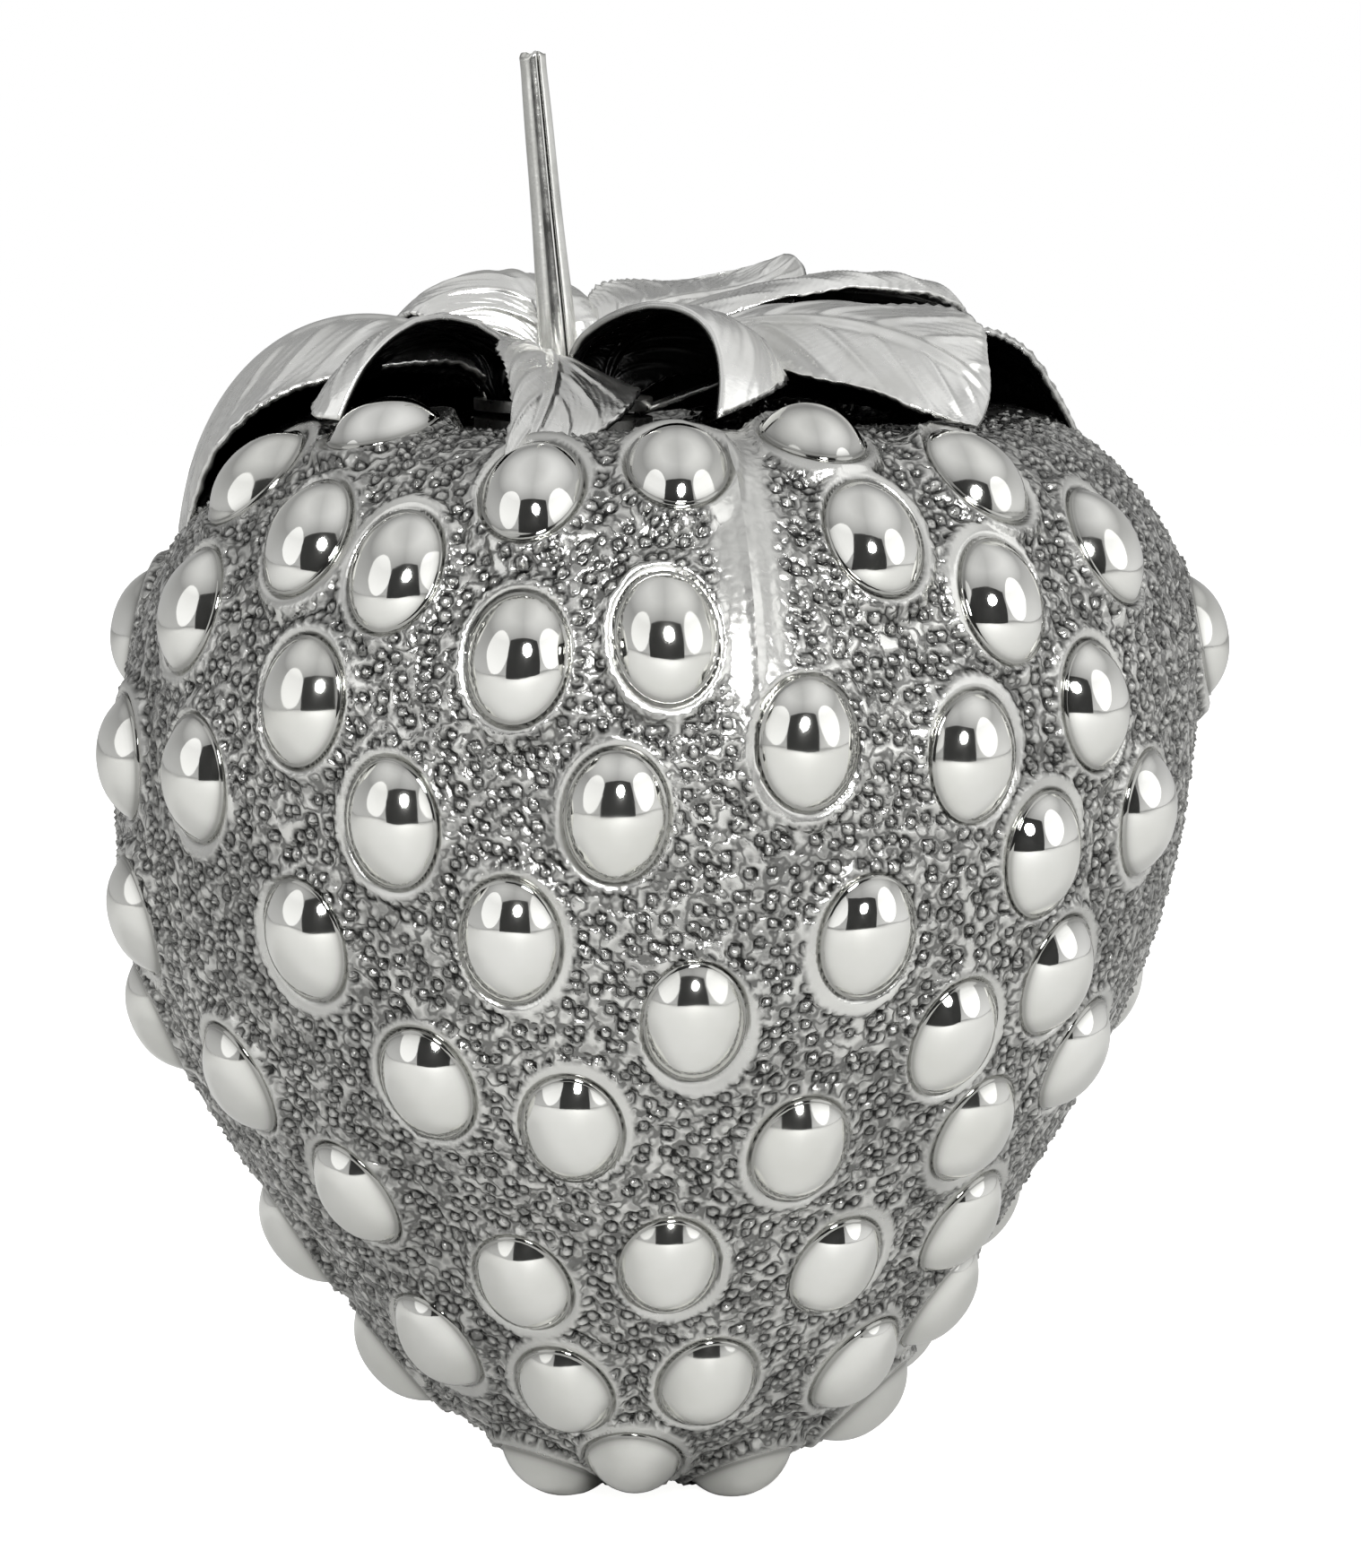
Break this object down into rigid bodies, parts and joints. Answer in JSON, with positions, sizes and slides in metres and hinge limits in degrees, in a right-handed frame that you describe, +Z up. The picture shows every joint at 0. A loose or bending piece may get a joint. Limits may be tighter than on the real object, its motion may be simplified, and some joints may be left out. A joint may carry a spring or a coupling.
{
  "type": "strawberry ornament",
  "caption": "Hollow silver strawberry ornament with a bead-punched body, polished domed seeds, a calyx of curled veined sepals and a thin rolled stem. It stands on its blunt tip.",
  "frame": {"origin": "on the resting plane, on the body's own axis, midway between the four foot seeds", "axes": "+Z up along the body's axis; the front looks along -Y; the calyx centre and the leaning stem are offset towards -X"},
  "size_m": [0.0688, 0.0696, 0.0885],
  "materials": {
    "chased_silver": "bead-punched and darkened in the hollows",
    "polished_silver": "mirror polish",
    "sepal_silver": "satin, with chased veins",
    "stem_silver": "polished, drawn lengthwise",
    "plain_silver": "plain, unseen"
  },
  "bodies": {
    "root": {"shell_left": "chased_silver", "shell_right": "chased_silver", "seeds_row_01_feet": "polished_silver", "seeds_row_02": "polished_silver", "seeds_row_03": "polished_silver", "seeds_row_04": "polished_silver", "seeds_row_05": "polished_silver", "seeds_row_06": "polished_silver", "seeds_row_07": "polished_silver", "seeds_row_08": "polished_silver", "seeds_row_09": "polished_silver", "seeds_row_10": "polished_silver", "mouth_collar": "plain_silver", "calyx_disc_lower": "plain_silver", "calyx_disc_upper": "plain_silver", "sepal_front": "sepal_silver", "sepal_front_left": "sepal_silver", "sepal_front_right": "sepal_silver", "sepal_left": "sepal_silver", "sepal_right": "sepal_silver", "sepal_right_front": "sepal_silver", "sepal_right_back": "sepal_silver", "sepal_back": "sepal_silver", "sepal_back_left": "sepal_silver", "sepal_back_right": "sepal_silver", "stem_tube": "stem_silver", "stem_pin": "plain_silver"}
  },
  "joints": []
}
